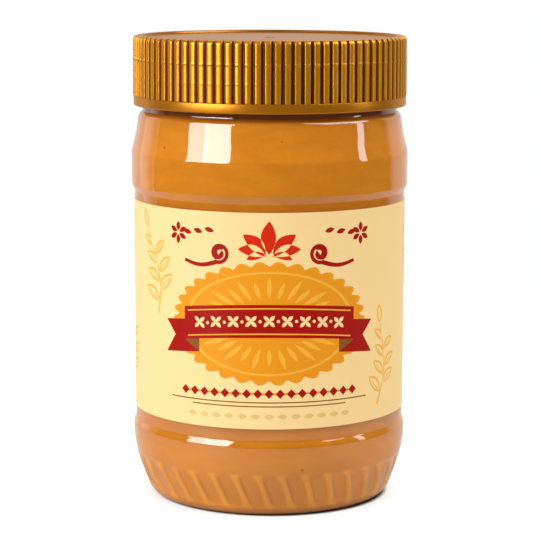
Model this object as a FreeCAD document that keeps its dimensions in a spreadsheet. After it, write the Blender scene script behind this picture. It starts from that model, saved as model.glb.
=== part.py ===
import FreeCAD, Part
import os
import re
import Sketcher

# A screw-top jar of smooth peanut butter. Units are millimetres, +Z is up, and
# the origin is the middle of the foot ring that the jar stands on.
#
# jar            clear blow-moulded jar: fluted heel, label panel, band, shoulder, neck
# peanut_butter  the filling, up to just below the mouth
# label          paper sleeve wrapped round the panel
# lid            moulded cap with a ribbed skirt and a sunk top, seated on the mouth

SIZES = [
    # jar, across
    ("panel_radius", 36.40, "straight wall that carries the label"),
    ("heel_proud", 0.58, "how far the heel's crest stands out of the panel"),
    ("band_proud", 0.82, "how far the shoulder's band stands out of the panel"),
    ("shoulder_inset", 1.45, "shoulder's upper edge, in from the panel"),
    ("neck_inset", 2.90, "neck, in from the panel"),
    ("jar_wall", 0.80, "wall of the jar"),
    # jar, up
    ("heel_rise", 19.00, "from the table to the heel's crest"),
    ("heel_crest", 0.90, "height of the crest"),
    ("heel_step", 1.70, "height of the step from the crest to the panel"),
    ("panel_height", 61.30, "height of the label panel"),
    ("band_step", 1.70, "height of the step from the panel to the band"),
    ("band_height", 8.20, "height of the band"),
    ("shoulder_height", 9.10, "height of the sloping shoulder"),
    ("shoulder_turn", 1.80, "height of the turn from the shoulder to the neck"),
    ("neck_height", 18.50, "height of the neck"),
    # jar, curves
    ("heel_lean", 20.40, "lean of the heel's lower cone, degrees from upright"),
    ("heel_sweep", 30.00, "radius of the curve from the cone to the crest"),
    ("foot_round", 2.50, "rounding from the foot ring into the cone"),
    ("foot_width", 2.20, "width of the flat foot ring"),
    ("push_up", 5.00, "rise of the base's middle"),
    ("base_sweep", 90.0, "radius of the base's hollow"),
    ("shoulder_sweep", 34.0, "radius of the shoulder's curve"),
    ("step_round", 0.80, "corners beside the panel"),
    ("band_round", 3.00, "upper corner of the band"),
    ("edge_round", 0.90, "shoulder's upper edge"),
    # scallops round the heel
    ("flute_count", 36, "slanted scallops"),
    ("flute_middle", 7.90, "height of a scallop's middle"),
    ("flute_slant", 20.0, "slant of a scallop, degrees"),
    ("flute_depth", 0.42, "depth of a scallop"),
    ("flute_bow", 7.00, "radius of a scallop across"),
    ("flute_sweep", 29.0, "radius of a scallop along"),
    ("flute_reach", 7.00, "half the length of the scallop's cutter"),
    # filling and label
    ("fill_fit", 0.05, "slack between the filling and the wall"),
    ("headspace", 3.60, "from the filling up to the mouth"),
    ("label_paste", 0.03, "glue line between the panel and the label"),
    ("label_paper", 0.12, "thickness of the label"),
    ("label_low_gap", 2.80, "bare panel below the label"),
    ("label_high_gap", 2.20, "bare panel above the label"),
    # lid
    ("lid_gap", 1.20, "room between the neck and the lid's skirt"),
    ("lid_wall", 1.15, "skirt's wall behind the ribs"),
    ("rib_depth", 0.70, "depth of the gaps between the ribs"),
    ("rib_count", 90, "ribs round the skirt"),
    ("rib_gap", 1.05, "width of the gap between two ribs at its mouth"),
    ("rib_draft", 0.12, "how much a gap narrows towards its root, each side"),
    ("hem_inset", 0.14, "plain hem of the skirt, in from the ribs"),
    ("hem_height", 2.55, "height of the plain hem"),
    ("skirt_drop", 16.50, "skirt's reach below the jar's mouth"),
    ("lid_plate", 1.30, "thickness of the lid's top"),
    ("lid_recess", 0.70, "depth of the sunk top"),
    ("lid_rim", 2.60, "width of the rim round the sunk top"),
    ("lid_round", 1.50, "rounding of the lid's top edge"),
]

# Heights, each stacked on the one below.
CREST_TOP = "(heel_rise + heel_crest)"
PANEL = f"({CREST_TOP} + heel_step)"
PANEL_TOP = f"({PANEL} + panel_height)"
BAND = f"({PANEL_TOP} + band_step)"
BAND_TOP = f"({BAND} + band_height)"
SHOULDER = f"({BAND_TOP} + shoulder_height)"
NECK = f"({SHOULDER} + shoulder_turn)"
MOUTH = f"({NECK} + neck_height)"
LID_LOW = f"({MOUTH} - skirt_drop)"
HEM_TOP = f"({LID_LOW} + hem_height)"
LID_FLOOR = f"({MOUTH} + lid_plate)"
LID_TOP = f"({LID_FLOOR} + lid_recess)"

# Radii. The heel's cone meets its upper curve and the foot's rounding without a corner.
HEEL_RADIUS = "(panel_radius + heel_proud)"
BAND_RADIUS = "(panel_radius + band_proud)"
SHOULDER_RADIUS = "(panel_radius - shoulder_inset)"
NECK_RADIUS = "(panel_radius - neck_inset)"
CONE_TOP = "(heel_rise - heel_sweep * sin(heel_lean))"
CONE_LOW = "(foot_round * (1 - sin(heel_lean)))"
CONE_RADIUS = f"({HEEL_RADIUS} - heel_sweep * (1 - cos(heel_lean)))"
FOOT_RADIUS = (f"({CONE_RADIUS} - ({CONE_TOP} - {CONE_LOW}) * tan(heel_lean)"
               " - foot_round * cos(heel_lean))")
SKIRT_INSIDE = f"({NECK_RADIUS} + lid_gap)"
RIB_ROOT = f"({SKIRT_INSIDE} + lid_wall)"
RIB_RADIUS = f"({RIB_ROOT} + rib_depth)"

doc = FreeCAD.newDocument("peanut_butter_jar")
sheet = doc.addObject("Spreadsheet::Sheet", "Sizes")
for row, (name, size, note) in enumerate(SIZES, start=1):
    sheet.set(f"A{row}", name)
    sheet.set(f"B{row}", str(size))
    sheet.set(f"C{row}", note)
    sheet.setAlias(f"B{row}", name)
doc.recompute()


def bound(formula):
    """Write a formula of size names as the expression that other objects take."""
    return re.sub(r"[a-z]+_[a-z_]+|headspace", lambda name: "Sizes." + name.group(), formula)


def value(formula):
    """Work out a formula of size names with the sheet's present values."""
    return float(sheet.evalExpression(formula))


def origin_item(body, role):
    """Find one of a body's own origin planes or axes."""
    return next(item for item in body.Origin.OriginFeatures if item.Role == role)


def new_body(label):
    """Start a piece."""
    body = doc.addObject("PartDesign::Body", label)
    body.Label = label
    return body


def new_sketch(body, name, role):
    """Start a sketch on one of a body's own planes."""
    sketch = body.newObject("Sketcher::SketchObject", name)
    sketch.AttachmentSupport = [(origin_item(body, role), "")]
    sketch.MapMode = "FlatFace"
    sketch.Visibility = False
    return sketch


def pin(sketch, item, end, corner):
    """Hold one end of a sketch line or arc at the place that two formulas give."""
    for kind, axis, formula in (("DistanceX", -2, corner[0]), ("DistanceY", -1, corner[1])):
        if abs(value(formula)) < 1e-9:
            sketch.addConstraint(Sketcher.Constraint("PointOnObject", item, end, axis))
            continue
        place = Sketcher.Constraint(kind, -1, 1, item, end, value(formula))
        number = sketch.addConstraint(place)
        sketch.setExpression(f"Constraints[{number}]", bound(formula))


def arc_between(start, end, radius, side):
    """Make the arc from start to end that bulges to its left (side 1) or right (side -1)."""
    chord = end - start
    across = FreeCAD.Vector(-chord.y, chord.x, 0).normalize() * side
    sag = radius - (radius ** 2 - (chord.Length / 2) ** 2) ** 0.5
    return Part.Arc(start, start + chord * 0.5 + across * sag, end)


def outline(sketch, corners):
    """Draw a closed outline. A corner is (across, up), or (across, up, radius, side) where
    an arc leads to it."""
    points = [FreeCAD.Vector(value(corner[0]), value(corner[1]), 0) for corner in corners]
    ends = []
    for number, corner in enumerate(corners):
        start, end = points[number - 1], points[number]
        if len(corner) == 2:
            sketch.addGeometry(Part.LineSegment(start, end))
            ends.append((1, 2))
        else:
            sketch.addGeometry(arc_between(start, end, value(corner[2]), corner[3]))
            forward = sketch.getPoint(number, 1).distanceToPoint(start) < 1e-6
            ends.append((1, 2) if forward else (2, 1))
    for number, corner in enumerate(corners):
        following = (number + 1) % len(corners)
        meeting = (number, ends[number][1], following, ends[following][0])
        sketch.addConstraint(Sketcher.Constraint("Coincident", *meeting))
        pin(sketch, number, ends[number][1], corner)
        if len(corner) == 4:
            radius = Sketcher.Constraint("Radius", number, value(corner[2]))
            sketch.setExpression(f"Constraints[{sketch.addConstraint(radius)}]", bound(corner[2]))
    doc.recompute()


def turn(body, kind, name, corners):
    """Turn an outline once round the upright axis, to add (Revolution) or cut (Groove)."""
    sketch = new_sketch(body, name + "Outline", "XZ_Plane")
    outline(sketch, corners)
    feature = body.newObject("PartDesign::" + kind, name)
    feature.Profile = sketch
    feature.ReferenceAxis = (sketch, ["V_Axis"])
    feature.Angle = 360
    doc.recompute()
    return feature


def round_edges(body, name, base, places, radius):
    """Round the circular edges that lie at the given (radius, height) places."""
    edges = []
    for number, edge in enumerate(base.Shape.Edges, start=1):
        if edge.Degenerated or not isinstance(edge.Curve, Part.Circle):
            continue
        for across, up in places:
            aside = abs(edge.Curve.Radius - value(across)) + abs(edge.Curve.Center.z - value(up))
            if aside < 0.001:
                edges.append(f"Edge{number}")
    feature = body.newObject("PartDesign::Fillet", name)
    feature.Base = (base, edges)
    feature.setExpression("Radius", bound(radius))
    doc.recompute()
    return feature


def repeat(body, name, cut, count):
    """Repeat a cut evenly round the upright axis."""
    pattern = body.newObject("PartDesign::PolarPattern", name)
    pattern.Originals = [cut]
    pattern.Axis = (origin_item(body, "Z_Axis"), [""])
    pattern.Angle = 360
    pattern.setExpression("Occurrences", bound(count))
    body.Tip = pattern
    doc.recompute()
    return pattern


def jar_corners(inset, top):
    """List the corners of the jar's half section, drawn in by inset, up to the height top."""
    foot_arc = f"(foot_round - {inset})"
    sweep = f"(heel_sweep - {inset})"
    return [
        ("0", f"push_up + {inset}"),
        (f"{FOOT_RADIUS} - foot_width", inset, "base_sweep", 1),
        (FOOT_RADIUS, inset),
        (f"{FOOT_RADIUS} + {foot_arc} * cos(heel_lean)",
         f"foot_round - {foot_arc} * sin(heel_lean)", foot_arc, -1),
        (f"{CONE_RADIUS} - {inset} * cos(heel_lean)", f"{CONE_TOP} + {inset} * sin(heel_lean)"),
        (f"{HEEL_RADIUS} - {inset}", "heel_rise", sweep, -1),
        (f"{HEEL_RADIUS} - {inset}", CREST_TOP),
        (f"panel_radius - {inset}", PANEL),
        (f"panel_radius - {inset}", PANEL_TOP),
        (f"{BAND_RADIUS} - {inset}", BAND),
        (f"{BAND_RADIUS} - {inset}", BAND_TOP),
        (f"{SHOULDER_RADIUS} - {inset}", SHOULDER, "shoulder_sweep", -1),
        (f"{NECK_RADIUS} - {inset}", NECK),
        (f"{NECK_RADIUS} - {inset}", top),
        ("0", top),
    ]


def cut_flutes(body):
    """Scallop the heel's cone: a long spindle, leaned with the cone and slanted across it,
    is cut at even spacing."""
    sketch = new_sketch(body, "FluteOutline", "XZ_Plane")
    middle_radius = f"{CONE_RADIUS} - ({CONE_TOP} - flute_middle) * tan(heel_lean)"
    sketch.setExpression("AttachmentOffset", bound(
        f"placement(vector({middle_radius}; flute_middle; 0);"
        " rotation(vector(0; 0; 1); -heel_lean) * rotation(vector(1; 0; 0); flute_slant))"))
    axis = "(flute_bow - flute_depth)"
    end = "(flute_sweep - flute_depth - sqrt(flute_sweep ^ 2 - flute_reach ^ 2))"
    outline(sketch, [
        (axis, "-flute_reach"),
        (end, "-flute_reach"),
        (end, "flute_reach", "flute_sweep", 1),
        (axis, "flute_reach"),
    ])
    flute = body.newObject("PartDesign::Groove", "Flute")
    flute.Profile = sketch
    flute.ReferenceAxis = (sketch, ["Edge4"])
    flute.Angle = 360
    doc.recompute()
    repeat(body, "Flutes", flute, "flute_count")


def build_jar():
    """Jar of one even wall, scalloped at the heel and open at the mouth."""
    body = new_body("jar")
    outside = turn(body, "Revolution", "Outside", jar_corners("0", MOUTH))
    steps = [(HEEL_RADIUS, CREST_TOP), ("panel_radius", PANEL),
             ("panel_radius", PANEL_TOP), (BAND_RADIUS, BAND)]
    eased = round_edges(body, "StepRounds", outside, steps, "step_round")
    eased = round_edges(body, "BandRound", eased, [(BAND_RADIUS, BAND_TOP)], "band_round")
    round_edges(body, "EdgeRound", eased, [(SHOULDER_RADIUS, SHOULDER)], "edge_round")
    cut_flutes(body)
    body.Tip = turn(body, "Groove", "Inside", jar_corners("jar_wall", MOUTH))
    return body


def build_peanut_butter():
    """Filling that takes the jar's inside up to the headspace."""
    body = new_body("peanut_butter")
    level = f"({MOUTH} - headspace)"
    body.Tip = turn(body, "Revolution", "Filling", jar_corners("(jar_wall + fill_fit)", level))
    return body


def build_label():
    """Paper sleeve that lies on the panel."""
    sleeve = []
    for name, radius in (("LabelOutside", "panel_radius + label_paste + label_paper"),
                         ("LabelInside", "panel_radius + label_paste")):
        cylinder = doc.addObject("Part::Cylinder", name)
        cylinder.setExpression("Radius", bound(radius))
        cylinder.setExpression("Height", bound("panel_height - label_low_gap - label_high_gap"))
        sleeve.append(cylinder)
    label = doc.addObject("Part::Cut", "label")
    label.Base, label.Tool = sleeve
    label.Label = "label"
    label.setExpression("Placement.Base.z", bound(f"{PANEL} + label_low_gap"))
    return label


def build_lid():
    """Cap: ribbed skirt over a plain hem, a sunk top inside a rim, and a hollow inside that
    seats on the mouth."""
    body = new_body("lid")
    recess = f"({RIB_RADIUS} - lid_rim)"
    shell = turn(body, "Revolution", "Shell", [
        ("0", LID_FLOOR),
        (recess, LID_FLOOR),
        (recess, LID_TOP),
        (RIB_RADIUS, LID_TOP),
        (RIB_RADIUS, HEM_TOP),
        (f"{RIB_RADIUS} - hem_inset", HEM_TOP),
        (f"{RIB_RADIUS} - hem_inset", LID_LOW),
        ("0", LID_LOW),
    ])
    eased = round_edges(body, "TopRound", shell, [(RIB_RADIUS, LID_TOP)], "lid_round")
    round_edges(body, "RecessRound", eased, [(recess, LID_TOP)], "lid_recess / 2")
    turn(body, "Groove", "Hollow", [
        ("0", MOUTH),
        (SKIRT_INSIDE, MOUTH),
        (SKIRT_INSIDE, LID_LOW),
        ("0", LID_LOW),
    ])
    sketch = new_sketch(body, "RibGapOutline", "XY_Plane")
    sketch.setExpression("AttachmentOffset.Base.z", bound(HEM_TOP))
    outline(sketch, [
        (RIB_ROOT, "rib_draft - rib_gap / 2"),
        (f"{RIB_RADIUS} + rib_depth", "-rib_gap / 2 - rib_draft"),
        (f"{RIB_RADIUS} + rib_depth", "rib_gap / 2 + rib_draft"),
        (RIB_ROOT, "rib_gap / 2 - rib_draft"),
    ])
    gap = body.newObject("PartDesign::Pocket", "RibGap")
    gap.Profile = sketch
    gap.Type = "Length"
    gap.setExpression("Length", bound(f"{LID_TOP} - {HEM_TOP} + lid_recess"))
    gap.Reversed = True
    doc.recompute()
    repeat(body, "Ribs", gap, "rib_count")
    return body


def check(pieces):
    """Stop before anything is written if a feature failed or a piece is not a sound solid."""
    for item in doc.Objects:
        if {"Invalid", "Error"} & set(item.State):
            raise RuntimeError(f"{item.Name} did not build: {item.State}")
    for piece in pieces:
        shape = piece.Shape
        if shape.isNull() or not shape.isValid() or len(shape.Solids) != 1:
            raise RuntimeError(f"{piece.Label} is not one sound solid")


pieces = [build_jar(), build_peanut_butter(), build_label(), build_lid()]
doc.recompute()
check(pieces)
os.makedirs("parts", exist_ok=True)
for piece in pieces:
    piece.Shape.exportStep(f"parts/{piece.Label}.step")
    box = piece.Shape.BoundBox
    print(f"{piece.Label}: {piece.Shape.Volume / 1000:.1f} ml, z {box.ZMin:.2f} to {box.ZMax:.2f}")
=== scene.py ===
import math

import bpy
import numpy as np
from bpy.props import FloatProperty, FloatVectorProperty, IntProperty, PointerProperty
from mathutils import Matrix, Vector
from mathutils.geometry import delaunay_2d_cdt


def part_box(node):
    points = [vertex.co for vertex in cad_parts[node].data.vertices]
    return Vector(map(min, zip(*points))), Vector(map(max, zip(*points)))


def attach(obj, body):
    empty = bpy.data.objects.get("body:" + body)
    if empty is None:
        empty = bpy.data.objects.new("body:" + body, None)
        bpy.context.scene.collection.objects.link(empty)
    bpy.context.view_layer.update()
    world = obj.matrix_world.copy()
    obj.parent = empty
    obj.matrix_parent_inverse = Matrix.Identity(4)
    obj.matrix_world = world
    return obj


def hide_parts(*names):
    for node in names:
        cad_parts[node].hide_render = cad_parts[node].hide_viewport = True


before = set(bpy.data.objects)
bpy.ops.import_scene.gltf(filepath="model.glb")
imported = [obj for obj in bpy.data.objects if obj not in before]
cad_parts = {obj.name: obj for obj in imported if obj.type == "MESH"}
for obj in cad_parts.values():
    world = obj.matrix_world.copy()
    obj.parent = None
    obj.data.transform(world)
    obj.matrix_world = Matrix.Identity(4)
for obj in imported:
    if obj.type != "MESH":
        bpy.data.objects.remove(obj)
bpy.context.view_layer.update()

# A screw-top jar of smooth peanut butter: clear jar with a scalloped heel, filling, paper
# label and golden-brown cap. Lengths are in metres, +Z is up, and the label's front faces -Y.

bl_info = {
    "name": "Peanut Butter Jar",
    "version": (1, 0, 0),
    "blender": (4, 5, 0),
    "location": "3D View > Sidebar > Jar",
    "description": "Builds a screw-top jar of smooth peanut butter round its packed frame",
    "category": "Add Mesh",
}

MM = 0.001
BODY = "root"
JAR_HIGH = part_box("jar")[1]
FILL_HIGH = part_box("peanut_butter")[1]
LABEL_LOW, LABEL_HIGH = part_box("label")
LID_LOW, LID_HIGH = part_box("lid")


# ---------------------------------------------------------------- settings

def length(name, about, size):
    """Make a length setting from a size in metres."""
    return FloatProperty(name=name, description=about, default=size, unit="LENGTH", precision=5)


def angle(name, about, degrees):
    """Make an angle setting from degrees."""
    return FloatProperty(name=name, description=about, default=math.radians(degrees),
                         subtype="ANGLE")


def colour(name, about, red, green, blue):
    """Make a colour setting, in linear light."""
    return FloatVectorProperty(name=name, description=about, default=(red, green, blue),
                               subtype="COLOR", size=3, min=0, max=1)


def number(name, about, amount):
    """Make a plain number setting."""
    return FloatProperty(name=name, description=about, default=amount)


def count(name, about, amount):
    """Make a whole number setting."""
    return IntProperty(name=name, description=about, default=amount, min=1)


class JarSizes(bpy.types.PropertyGroup):
    """Sizes of the clear jar and of the filling inside it."""
    wall: length("Wall", "Thickness of the jar's wall", 0.8 * MM)
    heel_proud: length("Heel proud", "How far the heel's crest stands out of the panel",
                       0.58 * MM)
    panel_low: length("Panel below label", "Bare panel below the label", 3.36 * MM)
    panel_high: length("Panel above label", "Bare panel above the label", 2.2 * MM)
    step_height: length("Step", "Height of the step above the panel", 1.7 * MM)
    bead_height: length("Bead", "Height of the bead's slope below the panel", 1.1 * MM)
    bead_round: length("Bead rounding", "Rounding of the bead on the heel's crest", 4.0 * MM)
    crest_height: length("Crest", "Height of the heel's crest", 1.34 * MM)
    band_height: length("Band height", "Height of the band", 8.8 * MM)
    shoulder_inset: length("Shoulder inset", "Shoulder's upper edge, in from the panel",
                           1.1 * MM)
    neck_inset: length("Neck inset", "Neck, in from the panel", 2.2 * MM)
    shoulder_rise: length("Shoulder rise", "From the band to the shoulder's turn", 9.8 * MM)
    shoulder_turn: length("Shoulder turn", "Height of the turn into the neck", 1.1 * MM)
    heel_lean: angle("Heel lean", "Lean of the heel's cone", 20.8)
    heel_sweep: length("Heel sweep", "Radius from the cone to the crest", 30.0 * MM)
    foot_round: length("Foot rounding", "Rounding from the foot ring to the cone", 3.8 * MM)
    foot_width: length("Foot ring", "Width of the foot ring", 2.2 * MM)
    push_up: length("Push-up", "Rise of the base's middle", 5.0 * MM)
    flutes: count("Flutes", "Slanted scallops round the heel", 36)
    flute_depth: length("Flute depth", "Depth of a scallop", 0.36 * MM)
    flute_low: length("Flute foot", "Height of a scallop's lower end", 2.4 * MM)
    flute_high: length("Flute head", "Height of a scallop's upper end", 12.0 * MM)
    flute_slant: angle("Flute slant", "Slant of a scallop", 20.0)
    flute_phase: angle("Flute phase", "Turn of the scallops round the jar", 2.9)
    fill_reach: length("Filling reach", "How far the filling reaches into the wall", 0.12 * MM)


class LidSizes(bpy.types.PropertyGroup):
    """Sizes of the cap."""
    ribs: count("Ribs", "Ribs round the skirt", 90)
    rib_depth: length("Rib depth", "Depth of the gaps between the ribs", 0.88 * MM)
    rib_phase: angle("Rib phase", "Turn of the ribs round the cap", 1.27)
    # The three shares below are painted shade on the cap's colour: in the gaps between the ribs,
    # on the sunk top and on the plain hem.
    gap_shade: number("Gap shade", "Colour of the gaps between the ribs, as a share", 0.46)
    top_shade: number("Top shade", "Colour of the sunk top, as a share", 0.72)
    hem_shade: number("Hem shade", "Colour of the plain hem, as a share", 0.86)
    proud: length("Cap proud", "How far the ribs stand out of the label", 0.17 * MM)
    hem_inset: length("Hem inset", "Plain hem, in from the ribs", 0.14 * MM)
    hem_height: length("Hem height", "Height of the plain hem", 2.55 * MM)
    recess: length("Recess", "Depth of the sunk top", 0.7 * MM)
    rim: length("Rim", "Width of the rim round the sunk top", 2.6 * MM)
    top_round: length("Top rounding", "Rounding of the top edge", 1.1 * MM)
    plate: length("Plate", "Thickness of the top", 1.3 * MM)
    skirt_wall: length("Skirt wall", "Wall behind the ribs", 1.0 * MM)
    draft: length("Draft", "How much narrower the skirt is at its top", 0.08 * MM)
    ring_drop: length("Ring drop", "Fine raised ring, below the top", 6.1 * MM)
    second_drop: length("Second ring drop", "Fainter ring, below the top", 11.0 * MM)
    ring_proud: length("Ring proud", "How far the fine ring stands out", 0.11 * MM)


class LabelSizes(bpy.types.PropertyGroup):
    """Sizes of the label and of its print."""
    paper: length("Paper", "Thickness of the label", 0.12 * MM)
    overlap: length("Overlap", "How far the ends overlap at the back", 6.0 * MM)
    grid: length("Grid", "Spacing of the sheet's mesh round the jar", 1.1 * MM)


class Finishes(bpy.types.PropertyGroup):
    """Colours of the pieces."""
    filling: colour("Peanut butter", "Smooth roasted paste", 0.64, 0.222, 0.011)
    filling_dark: colour("Peanut butter, dark", "Darker swirls", 0.56, 0.186, 0.007)
    speck: colour("Specks", "Bits of roasted skin", 0.16, 0.045, 0.006)
    plastic: colour("Clear plastic", "Tint of the jar's wall", 1.0, 0.985, 0.96)
    lid: colour("Cap", "Golden-brown moulded plastic", 0.51, 0.202, 0.008)
    paper: colour("Label ground", "Cream paper", 0.94, 0.67, 0.305)
    gold: colour("Gold", "Large motif", 0.82, 0.305, 0.012)
    gold_light: colour("Light gold", "Strokes on the large motif", 0.88, 0.42, 0.045)
    gold_pale: colour("Pale gold", "Small row near the foot", 0.80, 0.52, 0.18)
    sprig: colour("Sprig yellow", "Line drawings at the sides", 0.88, 0.46, 0.075)
    red_dark: colour("Dark red", "Banner and scrolls", 0.37, 0.006, 0.002)
    red: colour("Red", "Crest above the medallion", 0.64, 0.024, 0.004)
    brown: colour("Brown", "Fine rules", 0.26, 0.085, 0.018)


class StageSettings(bpy.types.PropertyGroup):
    """Camera, lamps and floor."""
    distance: length("Distance", "From the camera to the jar's axis, level", 0.5817)
    height: length("Height", "Camera above the table", 0.14897)
    tilt: angle("Tilt", "Camera's downward tilt", 8.66)
    roll: angle("Roll", "Camera's roll", 0.15)
    lens: number("Lens", "Focal length in millimetres on a 36 mm sensor", 143.77)
    shift: number("Shift", "Sideways shift of the lens", 0.0021)
    key: number("Key", "Radiance of the large soft box on the left", 4.4)
    side: number("Side", "Radiance of the fill on the right", 1.6)
    back: number("Back", "Radiance of the fill behind", 1.4)
    top: number("Top", "Radiance of the overhead panel", 2.6)
    window: number("Window", "Radiance of the window that the gloss shows", 14.0)
    strip: number("Strip", "Radiance of the narrow strip that the gloss shows", 6.6)
    world: number("World", "Strength of the room's light", 0.22)


def settings(scene):
    """Return the scene's five groups of settings."""
    return (scene.jar_sizes, scene.lid_sizes, scene.label_sizes, scene.jar_finishes,
            scene.jar_stage)


# ---------------------------------------------------------------- profiles

WIDEST_TURN = math.radians(30)
STRAIGHT_HALF = math.radians(89.5)


def rounded(corners, turn_step=math.radians(6), shortest=0.12 * MM):
    """Return the path through (across, up, rounding) corners: straight runs joined by arcs.

    An arc's steps turn by turn_step, or by more, up to WIDEST_TURN, where they would be shorter
    than shortest.

    At a corner with the angle 2h between its runs, the arc of radius r starts and ends
    r / tan(h) from the corner, and its centre lies r / sin(h) along the bisector."""
    corners = np.array(corners, float)
    stretches = [corners[:1, :2]]
    for before, here, after in zip(corners, corners[1:], corners[2:]):
        radius = here[2]
        back = before[:2] - here[:2]
        on = after[:2] - here[:2]
        back /= np.linalg.norm(back)
        on /= np.linalg.norm(on)
        half = math.acos(np.clip(back @ on, -1, 1)) / 2
        if radius <= 0 or half > STRAIGHT_HALF:
            stretches.append(here[None, :2])
            continue
        bisector = (back + on) / np.linalg.norm(back + on)
        centre = here[:2] + bisector * radius / math.sin(half)
        spoke = here[:2] + back * radius / math.tan(half) - centre
        start = math.atan2(spoke[1], spoke[0])
        turn = math.pi - 2 * half
        if back[0] * on[1] - back[1] * on[0] > 0:
            turn = -turn
        step = min(max(turn_step, shortest / radius), WIDEST_TURN)
        steps = max(3, math.ceil(abs(turn) / step) + 1)
        angles = start + turn * np.linspace(0, 1, steps)
        stretches.append(centre + radius * np.stack([np.cos(angles), np.sin(angles)], 1))
    stretches.append(corners[-1:, :2])
    return np.concatenate(stretches)


def subdivided(path, spacing):
    """Split each run of a path so that no step is longer than spacing(middles) there."""
    starts, ends = path[:-1], path[1:]
    steps = np.linalg.norm(ends - starts, axis=1)
    parts = np.ceil(steps / spacing((starts + ends) / 2)).astype(int).clip(1)
    first = np.repeat(np.arange(len(parts)), parts)
    along = np.arange(parts.sum()) - np.repeat(np.cumsum(parts) - parts, parts)
    share = (along / parts[first])[:, None]
    split = starts[first] * (1 - share) + ends[first] * share
    return np.concatenate([split, path[-1:]])


def supported(path, inset):
    """Add a point inset from each end of every long run, so that smooth shading stays there."""
    runs = np.linalg.norm(np.diff(path, axis=0), axis=1)
    share = np.where(runs > 4 * inset, inset / runs, 0)[:, None]
    long_run = share[:, 0] > 0
    near = path[:-1] + (path[1:] - path[:-1]) * share
    far = path[1:] - (path[1:] - path[:-1]) * share
    split = np.stack([path[:-1], near, far], 1).reshape(-1, 2)
    keep = np.stack([np.ones(len(runs), bool), long_run, long_run], 1).ravel()
    return np.concatenate([split[keep], path[-1:]])


def eased(share):
    """Ease a share from 0 to 1: share^2 x (3 - 2 x share)."""
    return share * share * (3 - 2 * share)


def bump_at(up, height, width):
    """Return a bell round a height: e to the power -((up - height) / width)^2."""
    return np.exp(-((up - height) / width) ** 2)


def outward_normals(path):
    """Return unit normals on the right of a path's direction, averaged at its corners."""
    runs = np.diff(path, axis=0)
    runs /= np.linalg.norm(runs, axis=1)[:, None]
    mean = np.concatenate([runs[:1], runs[:-1] + runs[1:], runs[-1:]])
    mean /= np.linalg.norm(mean, axis=1)[:, None]
    return np.stack([mean[:, 1], -mean[:, 0]], 1)


# ---------------------------------------------------------------- meshes

def shell_faces(rows, columns):
    """Return the faces of a shell of rings with a single pole at each end.

    Point 0 is the first pole, then come rows x columns ring points, then the last pole."""
    ring = np.arange(columns)
    following = (ring + 1) % columns
    base = 1 + np.arange(rows - 1)[:, None] * columns
    quads = np.stack([base + ring, base + following, base + columns + following,
                      base + columns + ring], -1).reshape(-1, 4)
    last = 1 + (rows - 1) * columns
    low = np.stack([np.zeros(columns, int), 1 + following, 1 + ring], 1)
    high = np.stack([last + ring, last + following, np.full(columns, last + columns)], 1)
    return quads.tolist() + low.tolist() + high.tolist()


def turned(radius, height, theta):
    """Return points at an angle theta round +Z, where 0 faces -Y and grows towards +X."""
    radius, height, theta = np.broadcast_arrays(radius, height, theta)
    return np.stack([radius * np.sin(theta), -radius * np.cos(theta), height], -1)


def closed_shell(path, rings):
    """Join ring points (rows, columns, 3) with the path's two end points on the axis."""
    poles = np.array([[0, 0, path[0, 1]], [0, 0, path[-1, 1]]])
    points = np.concatenate([poles[:1], rings.reshape(-1, 3), poles[1:]])
    return points, shell_faces(rings.shape[0], rings.shape[1])


def add_piece(name, points, faces, node, materials):
    """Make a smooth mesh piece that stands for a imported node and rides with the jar."""
    mesh = bpy.data.meshes.new(name)
    mesh.from_pydata(points.tolist(), [], faces)
    mesh.polygons.foreach_set("use_smooth", np.ones(len(mesh.polygons), bool))
    for material in materials:
        mesh.materials.append(material)
    mesh.update()
    piece = bpy.data.objects.new(name, mesh)
    bpy.context.scene.collection.objects.link(piece)
    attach(piece, BODY)
    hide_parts(node)
    return piece


def mark_points(piece, name, inner):
    """Give a closed shell a point attribute: 1 at its two poles, and inner on its rings."""
    mark = piece.data.attributes.new(name, "FLOAT", "POINT")
    mark.data.foreach_set("value", np.concatenate([[1], inner.ravel(), [1]]))


# ---------------------------------------------------------------- materials

def sockets(group, kind, listed):
    """Add inputs or outputs to a node group from (name, type, default) rows."""
    for name, form, default in listed:
        socket = group.interface.new_socket(name, in_out=kind, socket_type=form)
        if default is not None:
            socket.default_value = default


def node(tree, kind, label="", **values):
    """Add a node, label it, and set its properties; names that are not properties are inputs."""
    made = tree.nodes.new(kind)
    made.label = label
    for name, value in values.items():
        if hasattr(made, name):
            setattr(made, name, value)
        else:
            made.inputs[name.replace("_", " ")].default_value = value
    return made


def feed(tree, value, place):
    """Link a socket to an input, or set the input to a plain value."""
    if isinstance(value, bpy.types.NodeSocket):
        tree.links.new(value, place)
    else:
        place.default_value = value


def maths(tree, operation, first, second):
    """Add a Math node on two sockets or numbers and return its output."""
    made = tree.nodes.new("ShaderNodeMath")
    made.operation = operation
    feed(tree, first, made.inputs[0])
    feed(tree, second, made.inputs[1])
    return made.outputs[0]


def scaled(tree, tint, share):
    """Add a node that scales a colour by a share and return its output."""
    made = tree.nodes.new("ShaderNodeVectorMath")
    made.operation = "SCALE"
    feed(tree, tint, made.inputs[0])
    feed(tree, share, made.inputs["Scale"])
    return made.outputs[0]


def object_place(tree):
    """Add a Texture Coordinate node and return its Object output."""
    return tree.nodes.new("ShaderNodeTexCoord").outputs["Object"]


def seen_share(tree, path, in_gloss):
    """Return 1 for what the camera sees, and in_gloss for what gloss and clear plastic show."""
    shiny = maths(tree, "MAXIMUM", path.outputs["Is Glossy Ray"],
                  path.outputs["Is Transmission Ray"])
    return maths(tree, "MAXIMUM", path.outputs["Is Camera Ray"],
                 maths(tree, "MULTIPLY", shiny, in_gloss))


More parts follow.
